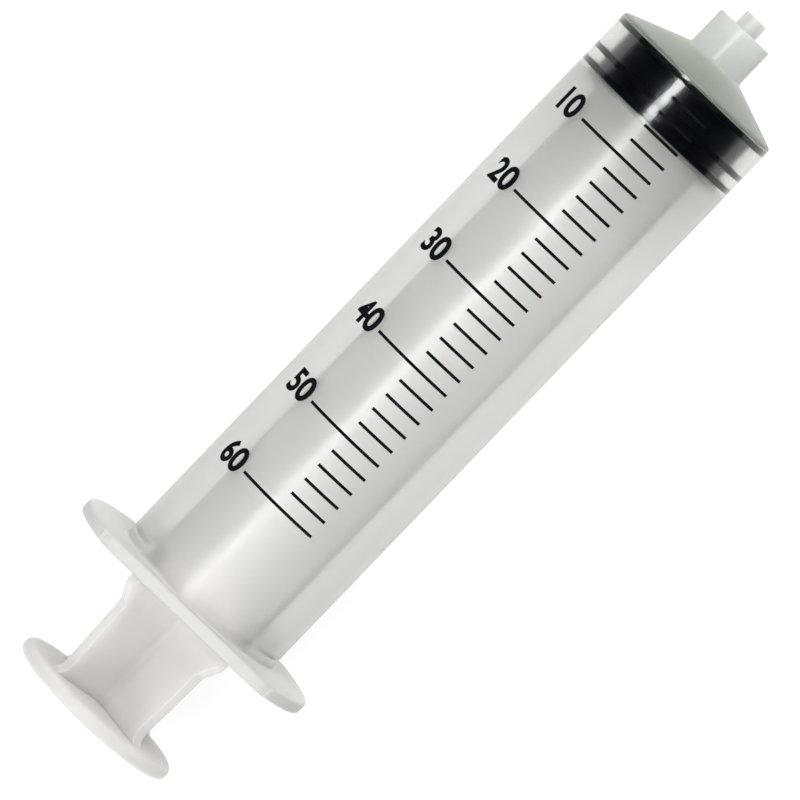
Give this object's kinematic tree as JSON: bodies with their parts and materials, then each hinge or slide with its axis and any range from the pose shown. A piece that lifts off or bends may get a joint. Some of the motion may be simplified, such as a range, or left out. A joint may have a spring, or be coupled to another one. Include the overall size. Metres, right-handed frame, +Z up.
{
  "type": "luer lock syringe",
  "caption": "Large hand syringe with a luer lock tip, printed scale, oval finger flange, rubber stopper and cross-ribbed plunger rod pushed home.",
  "frame": {"origin": "on the syringe's axis, at the zero line of the scale", "axes": "+X along the axis towards the luer tip, +Y along the finger flange's wings, +Z up, with the syringe lying on one flat of the flange and the scale on top"},
  "size_m": [0.1516, 0.047, 0.033],
  "materials": {
    "barrel_polypropylene": "smooth moulded, translucent",
    "scale_ink": "printed",
    "stopper_rubber": "smooth moulded",
    "rod_polypropylene": "satin moulded, milky"
  },
  "bodies": {
    "barrel": {"barrel": "barrel_polypropylene", "printed_scale": "scale_ink"},
    "stopper": {"stopper": "stopper_rubber"},
    "rod": {"plunger_rod": "rod_polypropylene"}
  },
  "joints": [
    {"name": "stopper_slide", "type": "slide", "parent": "barrel", "child": "stopper", "axis": [-1, 0, 0], "range_m": [0, 0.1]},
    {"name": "rod_turn", "type": "hinge", "parent": "stopper", "child": "rod", "pos_m": [0, 0, 0], "axis": [1, 0, 0], "continuous": true}
  ]
}
